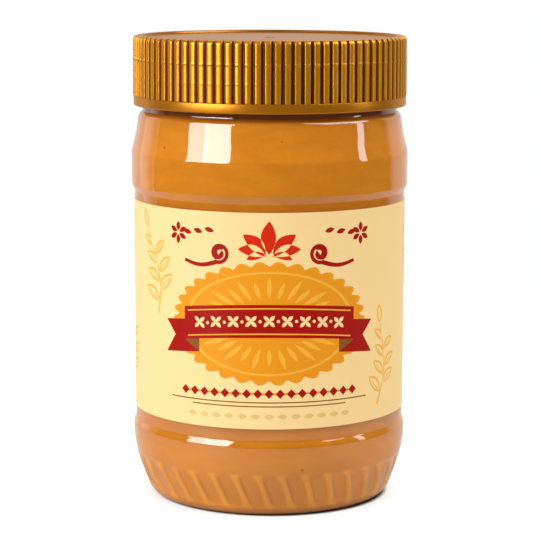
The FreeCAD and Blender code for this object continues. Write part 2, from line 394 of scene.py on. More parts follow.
def blended(tree, mask, first, second):
    """Add a colour Mix node from first to second by a mask and return its output."""
    made = tree.nodes.new("ShaderNodeMix")
    made.data_type = "RGBA"
    tree.links.new(mask, made.inputs["Factor"])
    for name, value in (("A", first), ("B", second)):
        feed(tree, value, [s for s in made.inputs if s.name == name and s.type == "RGBA"][0])
    return [s for s in made.outputs if s.type == "RGBA"][0]


def ranged(tree, value, low, high, to_low=0.0, to_high=1.0):
    """Add a smooth Map Range node and return its output."""
    made = tree.nodes.new("ShaderNodeMapRange")
    made.interpolation_type = "SMOOTHSTEP"
    tree.links.new(value, made.inputs["Value"])
    for name, amount in (("From Min", low), ("From Max", high), ("To Min", to_low),
                         ("To Max", to_high)):
        made.inputs[name].default_value = amount
    return made.outputs[0]


def noise(tree, vector, scale, detail=3.0, roughness=0.5, distortion=0.0):
    """Add a Noise texture on a vector and return its value output."""
    made = tree.nodes.new("ShaderNodeTexNoise")
    tree.links.new(vector, made.inputs["Vector"])
    for name, amount in (("Scale", scale), ("Detail", detail), ("Roughness", roughness),
                         ("Distortion", distortion)):
        made.inputs[name].default_value = amount
    return made.outputs[0]


def new_group(name, inputs, outputs):
    """Start a shader node group; return its tree and its input and output nodes."""
    tree = bpy.data.node_groups.new(name, "ShaderNodeTree")
    sockets(tree, "INPUT", inputs)
    sockets(tree, "OUTPUT", outputs)
    return tree, tree.nodes.new("NodeGroupInput"), tree.nodes.new("NodeGroupOutput")


# The grain's noise is turned by these angles about X, Y and Z.
GRAIN_TURN = (0.62, 0.48, 0.35)


def surface_grain():
    """Return the group for a moulded or coated surface: a fine grain over slow unevenness.

    Height is fine noise x Fine + broad noise x Broad. Shade is the broad noise drawn towards
    1, which a colour is multiplied by. Gloss is Roughness moved up and down by it."""
    found = bpy.data.node_groups.get("surface_grain")
    if found:
        return found
    tree, given, out = new_group(
        "surface_grain",
        (("Fine Scale", "NodeSocketFloat", 2500.0), ("Broad Scale", "NodeSocketFloat", 60.0),
         ("Fine", "NodeSocketFloat", 0.3), ("Broad", "NodeSocketFloat", 0.7),
         ("Shading", "NodeSocketFloat", 0.06), ("Roughness", "NodeSocketFloat", 0.4),
         ("Unevenness", "NodeSocketFloat", 0.08)),
        (("Height", "NodeSocketFloat", None), ("Shade", "NodeSocketFloat", None),
         ("Gloss", "NodeSocketFloat", None)))
    turn = node(tree, "ShaderNodeMapping", "Turned, so that no face lies along the noise's cells")
    turn.inputs["Rotation"].default_value = GRAIN_TURN
    tree.links.new(object_place(tree), turn.inputs["Vector"])
    place = turn.outputs[0]
    fine = noise(tree, place, 1.0, 2.0)
    tree.links.new(given.outputs["Fine Scale"], fine.node.inputs["Scale"])
    broad = noise(tree, place, 1.0, 4.0, 0.55)
    tree.links.new(given.outputs["Broad Scale"], broad.node.inputs["Scale"])
    height = maths(tree, "ADD", maths(tree, "MULTIPLY", fine, given.outputs["Fine"]),
                   maths(tree, "MULTIPLY", broad, given.outputs["Broad"]))
    centred = maths(tree, "SUBTRACT", broad, 0.5)
    shade = maths(tree, "ADD", maths(tree, "MULTIPLY", centred, given.outputs["Shading"]), 1.0)
    gloss = maths(tree, "ADD", maths(tree, "MULTIPLY", centred, given.outputs["Unevenness"]),
                  given.outputs["Roughness"])
    tree.links.new(height, out.inputs["Height"])
    tree.links.new(shade, out.inputs["Shade"])
    tree.links.new(gloss, out.inputs["Gloss"])
    return tree


def new_material(name):
    """Start a material; return it, its tree and its Principled BSDF."""
    material = bpy.data.materials.new(name)
    material.use_nodes = True
    tree = material.node_tree
    return material, tree, tree.nodes["Principled BSDF"]


def grained(tree, shader, base, depth, **values):
    """Give a Principled BSDF a base colour shaded by the surface grain, its gloss and bump."""
    grain = tree.nodes.new("ShaderNodeGroup")
    grain.node_tree = surface_grain()
    grain.label = "Surface grain"
    for name, value in values.items():
        grain.inputs[name.replace("_", " ")].default_value = value
    tree.links.new(scaled(tree, base, grain.outputs["Shade"]), shader.inputs["Base Color"])
    tree.links.new(grain.outputs["Gloss"], shader.inputs["Roughness"])
    bump = node(tree, "ShaderNodeBump", "Relief", Distance=depth, Strength=1.0)
    tree.links.new(grain.outputs["Height"], bump.inputs["Height"])
    tree.links.new(bump.outputs[0], shader.inputs["Normal"])


def deepened(tree, base, name, redder):
    """Return a colour scaled by a piece's point attribute of painted light and shade, and redder
    where that is low.

    The scaled colour is raised to the power 1 + redder x (1 - attribute)."""
    mark = node(tree, "ShaderNodeAttribute", "Light that reaches the place")
    mark.attribute_name = name
    power = maths(tree, "MULTIPLY", maths(tree, "SUBTRACT", 1.0, mark.outputs["Fac"]), redder)
    gamma = tree.nodes.new("ShaderNodeGamma")
    tree.links.new(scaled(tree, base, mark.outputs["Fac"]), gamma.inputs["Color"])
    tree.links.new(maths(tree, "ADD", power, 1.0), gamma.inputs["Gamma"])
    return gamma.outputs[0]


def clear_plastic(finishes):
    """Return the jar's clear plastic: it refracts, and it lets the lamps' light through."""
    material, tree, shader = new_material("clear_plastic")
    shader.inputs["Transmission Weight"].default_value = 1.0
    shader.inputs["IOR"].default_value = 1.57
    grained(tree, shader, finishes.plastic, 0.00006, Fine_Scale=900.0, Broad_Scale=38.0,
            Fine=0.04, Broad=1.0, Shading=0.02, Roughness=0.035, Unevenness=0.03)
    clear = node(tree, "ShaderNodeBsdfTransparent", "Light passing through")
    clear.inputs["Color"].default_value = (*finishes.plastic, 1.0)
    path = tree.nodes.new("ShaderNodeLightPath")
    mix = tree.nodes.new("ShaderNodeMixShader")
    let_through = maths(tree, "MAXIMUM", path.outputs["Is Shadow Ray"],
                        path.outputs["Is Diffuse Ray"])
    tree.links.new(let_through, mix.inputs["Fac"])
    tree.links.new(shader.outputs[0], mix.inputs[1])
    tree.links.new(clear.outputs[0], mix.inputs[2])
    tree.links.new(mix.outputs[0], tree.nodes["Material Output"].inputs["Surface"])
    return material


def smooth_paste(finishes):
    """Return the filling: slow swirls of two tans, fine mottling, small dark specks, and painted
    light and shade.
    """
    material, tree, shader = new_material("smooth_paste")
    place = object_place(tree)
    stretch = node(tree, "ShaderNodeMapping", "Drawn out round the jar")
    stretch.inputs["Scale"].default_value = (1.0, 1.0, 2.6)
    tree.links.new(place, stretch.inputs["Vector"])
    swirl = noise(tree, stretch.outputs[0], 34.0, 3.0, 0.5, 1.6)
    mottle = noise(tree, place, 420.0, 3.0, 0.6)
    mask = maths(tree, "ADD", maths(tree, "MULTIPLY", ranged(tree, swirl, 0.36, 0.66), 0.7),
                 maths(tree, "MULTIPLY", ranged(tree, mottle, 0.3, 0.7), 0.3))
    tan = blended(tree, mask, (*finishes.filling, 1), (*finishes.filling_dark, 1))
    cells = node(tree, "ShaderNodeTexVoronoi", "Specks", Scale=230.0)
    tree.links.new(place, cells.inputs["Vector"])
    pick = noise(tree, place, 150.0, 2.0)
    near = ranged(tree, cells.outputs["Distance"], 0.05, 0.10, 1.0, 0.0)
    speck = maths(tree, "MULTIPLY", near, ranged(tree, pick, 0.54, 0.58))
    speck = maths(tree, "MULTIPLY", speck, 0.75)
    # Light and shade are painted into the colour from the filling's point attribute.
    base = deepened(tree, blended(tree, speck, tan, (*finishes.speck, 1)), "painted_light_and_shade", 0.6)
    shader.inputs["Specular IOR Level"].default_value = 0.02
    grained(tree, shader, base, 0.00012, Fine_Scale=700.0, Broad_Scale=120.0, Fine=0.3,
            Broad=0.7, Shading=0.05, Roughness=0.55, Unevenness=0.1)
    return material


def lid_plastic(finishes):
    """Return the cap's golden-brown plastic, with a metallic pigment, a satin skin and painted
    shade.
    """
    material, tree, shader = new_material("golden_lid_plastic")
    shader.inputs["Metallic"].default_value = 0.5
    shader.inputs["IOR"].default_value = 1.45
    shader.inputs["Specular Tint"].default_value = (1.0, 0.74, 0.36, 1.0)
    # Painted shade from the cap's point attribute darkens its colour in the rib gaps, on the sunk
    # top and on the hem.
    base = deepened(tree, finishes.lid, "gap_shade", 0.9)
    grained(tree, shader, base, 0.00002, Fine_Scale=3200.0, Broad_Scale=40.0,
            Fine=0.6, Broad=0.25, Shading=0.14, Roughness=0.31, Unevenness=0.05)
    return material


def ink(name, tint, roughness):
    """Return a printed finish of the label: one flat ink on coated paper."""
    material, tree, shader = new_material(name)
    shader.inputs["Specular IOR Level"].default_value = 0.07
    grained(tree, shader, tint, 0.000035, Fine_Scale=2600.0, Broad_Scale=70.0, Fine=0.45,
            Broad=0.75, Shading=0.03, Roughness=roughness, Unevenness=0.08)
    return material


# ---------------------------------------------------------------- jar and filling

# The base's hollow bends at this distance from the axis, where it has this share of its rise.
HOLLOW_ACROSS = 14 * MM
HOLLOW_SHARE = 0.86
# The band leans in a little at its foot, and the shoulder bulges above it.
BAND_LEAN = 0.06 * MM
BULGE_PROUD = 0.7 * MM
BULGE_RISE = 4.9 * MM
# Roundings of the jar's corners, from the base up.
HOLLOW_ROUND = 30 * MM
RING_ROUND = 1.5 * MM
GROOVE_ROUND = 0.9 * MM
PANEL_ROUND = 0.5 * MM
STEP_ROUND = 0.9 * MM
BAND_ROUND = 3.0 * MM
BULGE_ROUND = 8.0 * MM
TURN_ROUND = 1.7 * MM
NECK_ROUND = 0.5 * MM
# The label's outside lies this far out of the panel.
LABEL_STAND = 0.15 * MM


def jar_corners(sizes):
    """Return the outer wall's corners as (across, up, rounding), from the base's middle up."""
    panel = LABEL_HIGH.x - LABEL_STAND
    heel = panel + sizes.heel_proud
    low = LABEL_LOW.z - sizes.panel_low
    high = LABEL_HIGH.z + sizes.panel_high
    crest = low - sizes.bead_height
    cone = crest - sizes.crest_height - sizes.heel_sweep * math.tan(sizes.heel_lean / 2)
    foot = heel - cone * math.tan(sizes.heel_lean)
    ring = foot - sizes.foot_round * math.tan(math.pi / 4 - sizes.heel_lean / 2)
    band_low = high + sizes.step_height
    band_high = band_low + sizes.band_height
    turn = band_high + sizes.shoulder_rise
    shoulder = panel - sizes.shoulder_inset
    neck = panel - sizes.neck_inset
    return [
        (0, sizes.push_up, 0),
        (HOLLOW_ACROSS, sizes.push_up * HOLLOW_SHARE, HOLLOW_ROUND),
        (ring - sizes.foot_width, 0, RING_ROUND),
        (foot, 0, sizes.foot_round),
        (heel, cone, sizes.heel_sweep),
        (heel, crest, sizes.bead_round),
        (panel, low, GROOVE_ROUND),
        (panel, high, PANEL_ROUND),
        (JAR_HIGH.x - BAND_LEAN, band_low, STEP_ROUND),
        (JAR_HIGH.x, band_high, BAND_ROUND),
        (shoulder + BULGE_PROUD, band_high + BULGE_RISE, BULGE_ROUND),
        (shoulder, turn, TURN_ROUND),
        (neck, turn + sizes.shoulder_turn, NECK_ROUND),
        (neck, JAR_HIGH.z - sizes.wall / 2, 0),
    ]


# The scallops lie outside this radius, and need rows this close there.
FOOT_OUTSIDE = 29.5 * MM
SCALLOP_ROWS = 0.40 * MM
PLAIN_ROWS = 12.0 * MM
# Columns across one scallop, from the middle of one ridge towards the next.
FLUTE_COLUMNS = np.array([-1.0, -0.91, -0.82, -0.71, -0.42, 0.0, 0.42, 0.71, 0.82, 0.91])
# Half a scallop's width, as a share of half its pitch, and how soon it reaches full depth.
SCALLOP_HALF = 0.91
SCALLOP_EDGE = 0.22


def jar_profile(sizes):
    """Return the outer wall's profile, with close rows where the scallops are."""
    def spacing(middles):
        radius, height = middles.T
        scalloped = (height > sizes.flute_low - 0.6 * MM) & (height < sizes.flute_high + 1.0 * MM)
        return np.where(scalloped & (radius > FOOT_OUTSIDE), SCALLOP_ROWS, PLAIN_ROWS)
    return subdivided(supported(rounded(jar_corners(sizes)), 0.3 * MM), spacing)


def scallops(sizes, path):
    """Return (depth share, ridge light, angle) grids for rows of a path across the heel.

    Across a scallop a runs from -1 to 1 and up it v does, and s is |a / SCALLOP_HALF|^2.8 +
    |v|^5, raised to 0.33. The depth is eased from none at s = 1 to full at s = 1 -
    SCALLOP_EDGE, which leaves narrow ridges that flare at their ends. Each row turns by its
    height above the middle x tan(slant) / radius, so the ridges lean. Ridge light is light and
    shade painted on the filling: 1 on a ridge, and below 0, painted shade, just to its right."""
    pitch = 2 * math.pi / sizes.flutes
    number_of = np.arange(sizes.flutes)[:, None]
    theta = ((number_of + FLUTE_COLUMNS / 2) * pitch + sizes.flute_phase).ravel()
    across = np.tile(FLUTE_COLUMNS, sizes.flutes)
    middle = (sizes.flute_low + sizes.flute_high) / 2
    half = (sizes.flute_high - sizes.flute_low) / 2
    up = (path[:, 1:2] - middle) / half
    edge = (np.abs(across / SCALLOP_HALF) ** 2.8 + np.abs(up) ** 5.0) ** 0.33
    full = eased(np.clip((1 - edge) / SCALLOP_EDGE, 0, 1))
    on_heel = (path[:, 0:1] > FOOT_OUTSIDE) & (np.abs(up) < 1.3)
    inside = np.clip((1.06 - np.abs(up)) / 0.12, 0, 1) * on_heel
    light = (1 - full) * np.clip((np.abs(across) - 0.45) / 0.3, 0, 1)
    dark = bump_at(across, -0.68, 0.15) * np.clip((0.95 - np.abs(up)) / 0.2, 0, 1)
    lean = -np.tan(sizes.flute_slant) * np.clip(up, -1, 1) * half / JAR_HIGH.x
    return full * on_heel, (light - 0.75 * dark) * inside, theta + lean


def fluted_rings(sizes, path, share):
    """Return ring points for a path's inner rows, and their ridge light, over the heel."""
    depth, light, theta = scallops(sizes, path[1:-1])
    radius = path[1:-1, 0:1] - share * sizes.flute_depth * depth
    return turned(radius, path[1:-1, 1:2], theta), light


# Inside the wall the scallops have this share of their depth.
INSIDE_SHARE = 0.8
# The filling's edge rounds off this far below its level, and its top lies this far below it.
FILL_EDGE = 0.6 * MM
FILL_TOP = 0.4 * MM
SWIRL = 0.5 * MM


class JarWallMaker(bpy.types.Operator):
    """Build the clear jar: one wall, with its heel, panel, band, shoulder and neck"""
    bl_idname = "jar.wall"
    bl_label = "Jar wall"

    def execute(self, context):
        sizes = context.scene.jar_sizes
        outer = jar_profile(sizes)
        inner = (outer - sizes.wall * outward_normals(outer))[::-1]
        inner[-1, 0] = 0
        neck = outer[-1, 0] - sizes.wall / 2
        bend = np.linspace(0, math.pi, 9)[1:-1]
        rim = np.stack([neck + sizes.wall / 2 * np.cos(bend),
                        outer[-1, 1] + sizes.wall / 2 * np.sin(bend)], 1)
        path = np.concatenate([outer, rim, inner])
        share = np.ones((len(path), 1))
        share[len(outer):] = INSIDE_SHARE
        rings = fluted_rings(sizes, path, share[1:-1])[0]
        points, faces = closed_shell(path, rings)
        add_piece("jar_wall", points, faces, "jar",
                  [clear_plastic(context.scene.jar_finishes)])
        return {"FINISHED"}


def filling_path(sizes):
    """Return the filling's profile: just into the wall, up to its edge, and a swirled top.

    On the top, t runs from 1 at the edge to 0 in the middle, and the height is
    SWIRL x sin(17 t) x 2 t (1 - t)."""
    outer = jar_profile(sizes)
    inside = outer - (sizes.wall - sizes.fill_reach) * outward_normals(outer)
    inside[0, 0] = 0
    inside = inside[inside[:, 1] < FILL_HIGH.z - FILL_EDGE]
    edge = inside[-1, 0]
    across = np.linspace(1, 0, 26)
    swirl = SWIRL * np.sin(across * 17) * (1 - across) * across * 2
    top = np.stack([(edge - 0.5 * MM) * across, FILL_HIGH.z - FILL_TOP + swirl], 1)
    return np.concatenate([inside, [[edge, FILL_HIGH.z - FILL_EDGE]], top])


def painted_light_and_shade(sizes, up, light):
    """Return the light and shade painted on the filling's colour at a height, where 1 is plain.

    Painted light gathers on the ridges of the scallops. Painted shade lies at the crest, the
    groove, the step and the neck, each by its share, as a bell round its height or, at the neck, a
    ramp."""
    low = LABEL_LOW.z - sizes.panel_low
    bare = LABEL_HIGH.z + sizes.panel_high
    turn = bare + sizes.step_height + sizes.band_height + sizes.shoulder_rise
    crest = bump_at(up, low - 1.6 * MM, 0.9 * MM)
    groove = bump_at(up, low + 0.1 * MM, 0.5 * MM)
    step = bump_at(up, bare - 1.1 * MM, 1.1 * MM)
    neck = np.clip((up - turn + 0.2 * MM) / (1.3 * MM), 0, 1)
    return 1 + 0.17 * light - 0.08 * crest - 0.10 * groove - 0.16 * step - 0.60 * neck


class FillingMaker(bpy.types.Operator):
    """Build the filling: solid up to its level, and just into the wall all round"""
    bl_idname = "jar.filling"
    bl_label = "Peanut butter"

    def execute(self, context):
        sizes = context.scene.jar_sizes
        path = filling_path(sizes)
        rings, light = fluted_rings(sizes, path, INSIDE_SHARE)
        points, faces = closed_shell(path, rings)
        piece = add_piece("peanut_butter_fill", points, faces, "peanut_butter",
                          [smooth_paste(context.scene.jar_finishes)])
        # Paints light and shade into the filling's colour, by height and over the scallops'
        # ridges.
        mark_points(piece, "painted_light_and_shade", painted_light_and_shade(sizes, path[1:-1, 1:2], light))
        return {"FINISHED"}


# ---------------------------------------------------------------- cap

# Columns across one rib and its gap: 0 is the gap's middle and 1 the rib's.
RIB_COLUMNS = np.array([-1.0, -0.72, -0.52, -0.44, -0.36, -0.28, 0.0, 0.28, 0.36, 0.44, 0.52,
                        0.72])
# A gap's side runs over GAP_SIDE from GAP_EDGE, and a rib's crown falls off towards it.
GAP_EDGE = 0.45
GAP_SIDE = 0.16
CROWN_FALL = 0.13
CROWN_REACH = 0.55
LID_TURN = math.radians(15)


def fine_rings(sizes, outside, hem, top):
    """Return the corners of the two fine rings on the skirt, from the lower one up."""
    corners = []
    for drop, share in ((sizes.second_drop, 0.35), (sizes.ring_drop, 1.0)):
        at = top - drop
        face = outside - sizes.draft * (at - hem) / (top - hem)
        crown = face + share * sizes.ring_proud
        corners += [(face, at - 0.32 * MM, 0), (crown, at - 0.12 * MM, 0),
                    (crown, at + 0.12 * MM, 0), (face, at + 0.32 * MM, 0)]
    return corners


def lid_path(sizes):
    """Return the cap's closed profile, how far the ribs shape each point, and the gaps' foot.

    It runs from under the plate, down inside the skirt, round its foot, up the ribs and over
    the rim to the middle of the sunk top, which has a small gate mark."""
    outside = LABEL_HIGH.x + sizes.proud
    foot, top = LID_LOW.z, LID_HIGH.z
    root = outside - sizes.rib_depth
    inside = root - sizes.skirt_wall
    under = top - sizes.recess - sizes.plate
    hem = foot + sizes.hem_height
    hem_side = outside - sizes.hem_inset
    narrow = outside - sizes.draft
    rim_inside = narrow - sizes.rim
    sunk = top - sizes.recess
    gate = sunk - 0.25 * MM
    inner = rounded([(0, under, 0),
                     (inside, under, 1.2 * MM),
                     (inside + 0.1 * MM, foot, 0.3 * MM),
                     (hem_side, foot, 0.35 * MM),
                     (hem_side, hem - 0.02 * MM, 0.12 * MM),
                     (outside - 0.3 * MM, hem, 0)], LID_TURN)
    outer = rounded([(outside - 0.28 * MM, hem + 0.01 * MM, 0),
                     (outside, hem + 0.05 * MM, 0.1 * MM),
                     *fine_rings(sizes, outside, hem, top),
                     (narrow, top, sizes.top_round),
                     (rim_inside, top, 0.35 * MM),
                     (rim_inside - 0.25 * MM, sunk, 0.4 * MM),
                     (1.6 * MM, sunk, 0.1 * MM),
                     (1.2 * MM, gate, 0.1 * MM),
                     (0, gate, 0)], LID_TURN)
    outer = supported(outer, 0.2 * MM)
    ribbed = np.concatenate([np.zeros(len(inner)), np.ones(len(outer))])
    path = np.concatenate([inner, outer])
    return path, ribbed * (path[:, 0] > root - 1 * MM), root


def rib_columns(sizes):
    """Return each column's angle, its share of a gap, and its share of the ribs' depth.

    With a as the distance from a gap's middle, the gap is eased from GAP_EDGE inwards over
    GAP_SIDE, and the crown is CROWN_FALL x ((1 - a) / CROWN_REACH)^2."""
    pitch = 2 * math.pi / sizes.ribs
    number_of = np.arange(sizes.ribs)[:, None]
    theta = ((number_of + RIB_COLUMNS / 2) * pitch + sizes.rib_phase).ravel()
    across = np.abs(np.tile(RIB_COLUMNS, sizes.ribs))
    gap = eased(np.clip((GAP_EDGE - across) / GAP_SIDE, 0, 1))
    crown = CROWN_FALL * np.clip((1 - across) / CROWN_REACH, 0, 1) ** 2
    return theta, gap, gap + crown * (1 - gap)


def lid_shade(sizes, rows, on_skirt, gap):
    """Return the painted shade, a share of the cap's colour: less in the gaps, on the sunk top and
    on the hem.
    """
    sunk = (rows[:, 0:1] < LABEL_HIGH.x - sizes.top_round) & (rows[:, 1:2] > LID_HIGH.z - MM)
    hem = rows[:, 1:2] < LID_LOW.z + sizes.hem_height
    return (1 - (1 - sizes.gap_shade) * gap * on_skirt - (1 - sizes.top_shade) * sunk
            - (1 - sizes.hem_shade) * hem)


class LidMaker(bpy.types.Operator):
    """Build the cap: ribbed skirt over a plain hem, rounded edge and sunk top"""
    bl_idname = "jar.lid"
    bl_label = "Cap"

    def execute(self, context):
        sizes = context.scene.lid_sizes
        path, ribbed, root = lid_path(sizes)
        rows, ribbed = path[1:-1], ribbed[1:-1, None]
        theta, gap, shaped = rib_columns(sizes)
        radius = rows[:, 0:1] - ribbed * shaped * np.maximum(0, rows[:, 0:1] - root)
        points, faces = closed_shell(path, turned(radius, rows[:, 1:2], theta))
        piece = add_piece("lid_cap", points, faces, "lid",
                          [lid_plastic(context.scene.jar_finishes)])
        # Painted shade: the cap's colour is darkened in the rib gaps, on the sunk top and on the
        # hem.
        on_skirt = ribbed * (rows[:, 0:1] > root + 0.02 * MM)
        mark_points(piece, "gap_shade", lid_shade(sizes, rows, on_skirt, gap))
        return {"FINISHED"}


# ---------------------------------------------------------------- label print

def along(steps):
    """Return even steps from 0 to 1, without the last, for a closed outline."""
    return np.arange(steps) / steps


def oval(x, y, across, up, lobes=0, depth=0.0, steps=96):
    """Return an oval; with lobes, its edge swells and dips by depth x |cos| of the angle."""
    t = 2 * math.pi * along(steps)
    swell = 1 + depth * (np.abs(np.cos(lobes * t / 2)) - 0.6) if lobes else np.ones(steps)
    points = np.stack([across * swell * np.cos(t), up * swell * np.sin(t)], 1)
    return points + (x, y)


def placed(points, x, y, turn=0.0, size=1.0, mirror=1):
    """Turn, scale and mirror an outline, then move it to (x, y)."""
    cosine, sine = math.cos(turn), math.sin(turn)
    turned_points = points @ np.array([[cosine, sine], [-sine, cosine]]) * size
    return turned_points * (mirror, 1) + (x, y)


def leaf(span, width, bend=0.0, steps=14):
    """Return a pointed leaf from the origin along x: half width is sin(pi t)^0.85 x width / 2."""
    t = np.linspace(0, 1, steps)
    middle = bend * span * np.sin(math.pi * t)
    half = width / 2 * np.sin(math.pi * t) ** 0.85
    upper = np.stack([span * t, middle + half], 1)
    lower = np.stack([span * t, middle - half], 1)[1:-1][::-1]
    return np.concatenate([upper, lower])


def stroke(line, start, end=None):
    """Return the outline of a pen stroke along a line, from one width to another."""
    line = np.asarray(line, float)
    width = np.linspace(start, start if end is None else end, len(line))[:, None] / 2
    run = np.gradient(line, axis=0)
    side = np.stack([-run[:, 1], run[:, 0]], 1) / np.linalg.norm(run, axis=1)[:, None]
    return np.concatenate([line + side * width, (line - side * width)[::-1]])


def box_outline(x, y, wide, high):
    """Return a rectangle round (x, y)."""
    return np.array([(-wide, -high), (wide, -high), (wide, high), (-wide, high)]) / 2 + (x, y)


def arc_line(x_from, x_to, y, rise, steps=25):
    """Return a shallow arch: y plus rise x (1 - u^2), for u from -1 to 1."""
    u = np.linspace(-1, 1, steps)
    return np.stack([x_from + (x_to - x_from) * (u + 1) / 2, y + rise * (1 - u * u)], 1)


def scroll(size, turns=1.35, steps=44):
    """Return a scroll's line: an S that starts flat and curls up into a shrinking spiral."""
    t = np.linspace(0, 1, steps)
    angle_at = 2 * math.pi * turns * t - math.pi / 2
    radius = size * (1 - 0.78 * t) * 0.5
    curl = np.stack([radius * np.cos(angle_at), radius * np.sin(angle_at) + size * 0.5], 1)
    run = np.stack([np.linspace(-2.2 * size, -0.14 * size, 16),
                    0.22 * size * np.sin(np.linspace(math.pi, 2 * math.pi, 16))], 1)
    return np.concatenate([run, curl])


def sprig(size, leaves, width):
    """Return the outlines of a line-drawn sprig: a bowed stem, and leaves drawn as rings."""
    t = np.linspace(0, 1, 22)
    stem = np.stack([0.10 * size * np.sin(math.pi * t * 1.2), size * t], 1)
    outlines = [stroke(stem, width * 1.3, width * 0.7)]
    for step in range(leaves):
        at = 0.14 + 0.74 * step / leaves
        foot = (0.10 * size * math.sin(math.pi * at * 1.2), size * at)
        side = 1 if step % 2 else -1
        reach = size * (0.34 - 0.14 * at)
        lean = math.radians(90 - side * 52)
        blade = leaf(reach, reach * 0.44, 0.05 * side)
        hollow = leaf(reach * 0.80, reach * 0.44 - 2.6 * width, 0.05 * side) + (reach * 0.09, 0)
        outlines.append(placed(blade, *foot, lean))
        outlines.append(placed(hollow, *foot, lean))
        vein = stroke([(reach * 0.15, 0), (reach * 0.45, 0.02 * reach), (reach * 0.74, 0)],
                      width * 0.9, width * 0.4)
        outlines.append(placed(vein, *foot, lean))
    tip = leaf(size * 0.24, size * 0.11)
    inner = leaf(size * 0.18, size * 0.11 - 2.6 * width) + (size * 0.03, 0)
    head = (stem[-1, 0], stem[-1, 1] * 0.98)
    outlines.append(placed(tip, *head, math.radians(100)))
    outlines.append(placed(inner, *head, math.radians(100)))
    return outlines


def medallion(x, y, across, up, rays):
    """Return the gold oval's outlines: its body, its lighter ring and lighter rays."""
    body = [oval(x, y, across, up, 34, 0.085, 34 * 9)]
    ring = [oval(x, y, across * 0.87, up * 0.87, steps=120),
            oval(x, y, across * 0.835, up * 0.835, steps=120)]
    light = []
    for step in range(rays):
        t = 2 * math.pi * (step + 0.5) / rays
        start, end = 0.42, 0.785 if step % 2 else 0.70
        reach = math.hypot(across * math.cos(t), up * math.sin(t))
        lean = math.atan2(up * math.sin(t), across * math.cos(t))
        blade = leaf(reach * (end - start), 1.25, 0.0, 9)
        light.append(placed(blade, x + start * across * math.cos(t),
                            y + start * up * math.sin(t), lean))
    return body, ring, light


def banner(x, y, half, high, rise):
    """Return a bowed ribbon's face, its tails, the folds between them, and its edge lines."""
    top = arc_line(x - half, x + half, y + high / 2, rise)
    foot = arc_line(x - half, x + half, y - high / 2, rise)
    face = np.concatenate([foot, top[::-1]])
    tails, folds, lines = [], [], []
    drop = y - high * 0.34
    for side in (-1, 1):
        inner = x + side * (half - 4.6)
        outer = x + side * (half + 6.4)
        end = x + side * half
        tails.append(np.array([(inner, drop - high / 2), (outer, drop - high / 2 - 1.0),
                               (outer - side * 3.2, drop - 0.5), (outer, drop + high / 2 - 1.0),
                               (inner, drop + high / 2)]))
        folds.append(np.array([(end, y - high / 2), (inner, drop - high / 2),
                               (inner, y - high / 2 + 0.4)]))
    for offset in (-1, 1):
        edge = arc_line(x - half + 1.0, x + half - 1.0, y + offset * (high / 2 - 1.0), rise)
        lines.append(stroke(edge, 0.34))
    return face, tails, folds, lines


# The inks, in the order of the label's materials: name, colour setting and roughness.
INKS = (("label_ground", "paper", 0.42), ("ink_gold", "gold", 0.38),
        ("ink_light_gold", "gold_light", 0.38), ("ink_sprig_yellow", "sprig", 0.42),
        ("ink_dark_red", "red_dark", 0.36), ("ink_red", "red", 0.36),
        ("ink_brown", "brown", 0.38), ("ink_pale_gold", "gold_pale", 0.42))
GROUND, GOLD, LIGHT_GOLD, SPRIG, DARK_RED, RED, BROWN, PALE_GOLD = range(len(INKS))
# Places on the label are millimetres along the sheet from the front's middle, and up it.
RIBBON_UP = 26.8
RIBBON_HALF = 23.5
RIBBON_RISE = 1.5
DIAMONDS_UP = 9.3
DIAMOND_STEP = 2.9
BACK = 84.0


def garland():
    """Return the ribbon's row of crosses, four petals each, with a dot between them."""
    outlines = []
    for step in range(-4, 5):
        along_ribbon = 4.7 * step
        up = RIBBON_UP + RIBBON_RISE * (1 - (along_ribbon / RIBBON_HALF) ** 2)
        for petal in range(4):
            outlines.append(placed(leaf(2.0, 1.0), along_ribbon, up,
                                   math.radians(90 * petal + 45)))
        if step < 4:
            outlines.append(oval(along_ribbon + 2.35, up, 0.42, 0.42, steps=14))
    return outlines


def leaf_crest():
    """Return the red crest: one upright leaf, and three pairs that lean out."""
    outlines = [placed(leaf(8.6, 3.9, 0.03), 0, 45.6, math.radians(90))]
    for side in (-1, 1):
        for lean, span, width in ((44, 8.2, 3.5), (12, 7.4, 3.0), (-16, 5.2, 2.0)):
            outlines.append(placed(leaf(span, width, 0.07), side * 0.9, 45.5 - lean / 90,
                                   math.radians(lean), mirror=side))
    return outlines


def top_ornaments():
    """Return the scrolls and small leaves beside the crest, and the rosettes."""
    flourishes, rosettes = [], []
    for side in (-1, 1):
        flourishes.append(placed(stroke(scroll(4.6), 0.9, 2.1), side * 13.2, 43.4,
                                 mirror=-side))
        for petal in range(6):
            lean = math.radians(60 * petal + 30)
            rosettes.append(placed(leaf(2.5, 1.35), side * 25.6 + 0.45 * math.cos(lean),
                                   50.2 + 0.45 * math.sin(lean), lean))
        for step in range(3):
            flourishes.append(placed(leaf(2.8, 1.3), side * (14.6 + 3.3 * step),
                                     51.2 - 0.4 * step, math.radians(14), mirror=side))
    return flourishes, rosettes


def side_sprays():
    """Return two sprigs on each side of the front."""
    outlines = []
    for line in sprig(23, 7, 0.5):
        for x, y, lean, size in ((-33.5, 28.0, 10, 1.0), (32.6, 4.0, -6, 0.95),
                                 (56.0, 26.0, 8, 0.9), (-55.0, 5.0, -8, 0.95)):
            outlines.append(placed(line, x, y, math.radians(lean), size))
    return outlines


